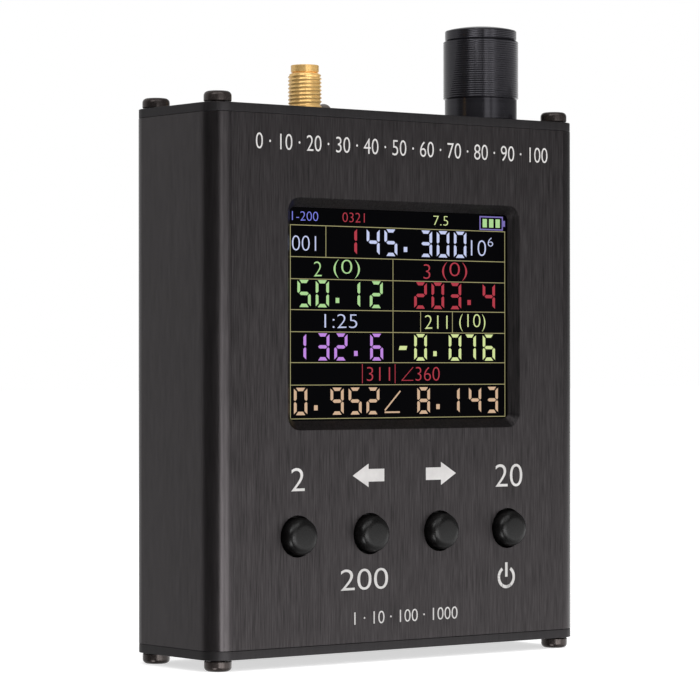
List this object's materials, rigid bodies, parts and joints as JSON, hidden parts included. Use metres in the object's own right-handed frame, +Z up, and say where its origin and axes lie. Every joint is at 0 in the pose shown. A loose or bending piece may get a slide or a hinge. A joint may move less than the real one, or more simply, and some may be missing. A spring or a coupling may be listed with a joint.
{
  "type": "antenna analyzer",
  "caption": "Handheld antenna analyzer in a black extruded case with a colour display, push buttons, a ribbed tuning knob and a gold coaxial jack.",
  "frame": {"origin": "middle of the footprint, in the plane of the lower screw heads' undersides", "axes": "+Z up along the sleeve towards the knob and the jack, -Y out of the display, +X to the viewer's right"},
  "size_m": [0.0826, 0.0276, 0.1149],
  "materials": {
    "anodised_black": "black anodised aluminium, brushed along the sleeve",
    "plate_black": "black anodised aluminium plate",
    "knob_black": "turned aluminium, glossy black anodised",
    "screw_black": "black oxide steel",
    "gold": "gold plated brass",
    "white_insulator": "white fluoropolymer",
    "button_black": "satin black moulded plastic",
    "display_black": "black display glass, lit figures",
    "dark_plastic": "black moulded plastic",
    "board_green": "green solder mask",
    "steel": "plated steel",
    "lamp_lens": "smoked clear lens, unlit",
    "battery_foil": "soft laminated foil",
    "grey_foam": "closed-cell foam",
    "amber_film": "amber flexible film"
  },
  "bodies": {
    "case": {"case_body": "anodised_black", "top_plate": "plate_black", "bottom_plate": "plate_black", "top_screw_1": "screw_black", "top_screw_2": "screw_black", "top_screw_3": "screw_black", "top_screw_4": "screw_black", "bottom_screw_1": "screw_black", "bottom_screw_2": "screw_black", "bottom_screw_3": "screw_black", "bottom_screw_4": "screw_black", "display_panel": "display_black", "display_tray": "dark_plastic", "display_ribbon": "amber_film", "switch_body_1": "steel", "switch_body_2": "steel", "switch_body_3": "steel", "switch_body_4": "steel", "jack_shell": "gold", "jack_insulator": "white_insulator", "jack_contact": "gold", "charge_lamp": "lamp_lens", "port_shell": "steel", "port_tongue": "dark_plastic", "encoder_housing": "steel", "encoder_cover": "dark_plastic", "encoder_washer": "steel", "encoder_nut": "steel", "front_board": "board_green", "rf_board": "board_green", "rf_shield": "steel", "board_spacer_1": "gold", "board_spacer_2": "gold", "board_spacer_3": "gold", "board_spacer_4": "gold", "board_header": "dark_plastic", "battery": "battery_foil", "battery_pad": "grey_foam"},
    "button_1": {"button_cap_1": "button_black", "switch_plunger_1": "dark_plastic"},
    "button_2": {"button_cap_2": "button_black", "switch_plunger_2": "dark_plastic"},
    "button_3": {"button_cap_3": "button_black", "switch_plunger_3": "dark_plastic"},
    "button_4": {"button_cap_4": "button_black", "switch_plunger_4": "dark_plastic"},
    "rotor": {"encoder_rotor": "dark_plastic"},
    "knob": {"encoder_shaft": "steel", "knob_insert": "dark_plastic", "knob_shell": "knob_black"}
  },
  "joints": [
    {"name": "button_press_1", "type": "slide", "parent": "case", "child": "button_1", "axis": [0, 1, 0], "range_m": [0, 0.00035], "stiffness_N_per_m": 1500, "springref_m": -0.0003},
    {"name": "button_press_2", "type": "slide", "parent": "case", "child": "button_2", "axis": [0, 1, 0], "range_m": [0, 0.00035], "stiffness_N_per_m": 1500, "springref_m": -0.0003},
    {"name": "button_press_3", "type": "slide", "parent": "case", "child": "button_3", "axis": [0, 1, 0], "range_m": [0, 0.00035], "stiffness_N_per_m": 1500, "springref_m": -0.0003},
    {"name": "button_press_4", "type": "slide", "parent": "case", "child": "button_4", "axis": [0, 1, 0], "range_m": [0, 0.00035], "stiffness_N_per_m": 1500, "springref_m": -0.0003},
    {"name": "knob_turn", "type": "hinge", "parent": "case", "child": "rotor", "pos_m": [0.0283, 0.00115, 0.0969], "axis": [0, 0, 1], "continuous": true},
    {"name": "knob_press", "type": "slide", "parent": "rotor", "child": "knob", "axis": [0, 0, -1], "range_m": [0, 0.0004], "stiffness_N_per_m": 4000, "springref_m": -0.0004}
  ]
}
